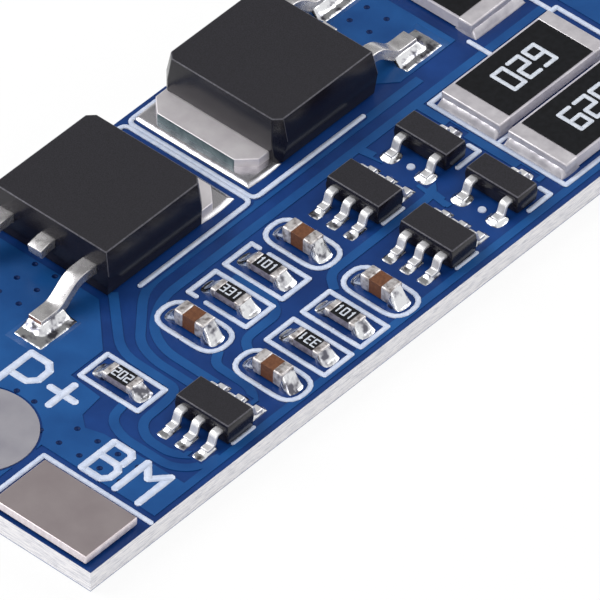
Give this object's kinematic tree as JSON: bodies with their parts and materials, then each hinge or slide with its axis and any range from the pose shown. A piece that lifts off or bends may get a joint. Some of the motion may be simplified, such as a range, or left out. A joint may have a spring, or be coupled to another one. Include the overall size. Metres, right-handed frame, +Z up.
{
  "type": "battery management board",
  "caption": "Slim blue circuit board that guards and balances lithium cells in series, with power transistors, chip parts, weld tabs and round output pads.",
  "frame": {"origin": "middle of the board on its underside", "axes": "+X along the board from the input end with the BM tab, +Y across it to the edge with the power transistors, +Z up from the underside"},
  "size_m": [0.05, 0.017, 0.0034],
  "materials": {
    "laminate": "woven glass and epoxy, sawn edge",
    "solder_mask": "blue photo-cured solder mask, semi-gloss",
    "masked_copper": "blue solder mask over copper, semi-gloss",
    "tinned_pad": "hot-air levelled tin, satin",
    "print_ink": "screen-printed epoxy ink",
    "nickel": "rolled nickel sheet, satin",
    "moulded_epoxy": "transfer-moulded black epoxy, fine grain",
    "tinned_frame": "tin-plated copper lead frame, sheared ends",
    "alumina": "sintered white alumina",
    "resistor_glaze": "black glass glaze",
    "plated_cap": "tin-plated end cap",
    "capacitor_ceramic": "brown sintered capacitor ceramic",
    "solder": "bright reflowed solder"
  },
  "bodies": {
    "root": {"circuit_board": "laminate", "mask_top": "solder_mask", "mask_bottom": "solder_mask", "masked_copper": "masked_copper", "solder_pads": "tinned_pad", "round_pads": "tinned_pad", "legend_frames": "print_ink", "tab_bm": "nickel", "tab_b_plus": "nickel", "tab_b_minus": "nickel", "solder_joints": "solder", "mosfet_1_body": "moulded_epoxy", "mosfet_1_tab": "tinned_frame", "mosfet_1_leads": "tinned_frame", "mosfet_2_body": "moulded_epoxy", "mosfet_2_tab": "tinned_frame", "mosfet_2_leads": "tinned_frame", "controller_1_body": "moulded_epoxy", "controller_1_leads": "tinned_frame", "balancer_1_body": "moulded_epoxy", "balancer_1_leads": "tinned_frame", "balancer_2_body": "moulded_epoxy", "balancer_2_leads": "tinned_frame", "bleed_switch_1_body": "moulded_epoxy", "bleed_switch_1_leads": "tinned_frame", "bleed_switch_2_body": "moulded_epoxy", "bleed_switch_2_leads": "tinned_frame", "chip_resistor_1_ceramic": "alumina", "chip_resistor_1_element": "resistor_glaze", "chip_resistor_1_caps": "plated_cap", "chip_resistor_2_ceramic": "alumina", "chip_resistor_2_element": "resistor_glaze", "chip_resistor_2_caps": "plated_cap", "chip_resistor_3_ceramic": "alumina", "chip_resistor_3_element": "resistor_glaze", "chip_resistor_3_caps": "plated_cap", "chip_resistor_4_ceramic": "alumina", "chip_resistor_4_element": "resistor_glaze", "chip_resistor_4_caps": "plated_cap", "chip_resistor_5_ceramic": "alumina", "chip_resistor_5_element": "resistor_glaze", "chip_resistor_5_caps": "plated_cap", "chip_capacitor_1_ceramic": "capacitor_ceramic", "chip_capacitor_1_caps": "plated_cap", "chip_capacitor_2_ceramic": "capacitor_ceramic", "chip_capacitor_2_caps": "plated_cap", "chip_capacitor_3_ceramic": "capacitor_ceramic", "chip_capacitor_3_caps": "plated_cap", "chip_capacitor_4_ceramic": "capacitor_ceramic", "chip_capacitor_4_caps": "plated_cap", "bleed_resistor_1_ceramic": "alumina", "bleed_resistor_1_element": "resistor_glaze", "bleed_resistor_1_caps": "plated_cap", "bleed_resistor_2_ceramic": "alumina", "bleed_resistor_2_element": "resistor_glaze", "bleed_resistor_2_caps": "plated_cap", "bleed_resistor_3_ceramic": "alumina", "bleed_resistor_3_element": "resistor_glaze", "bleed_resistor_3_caps": "plated_cap"}
  },
  "joints": []
}
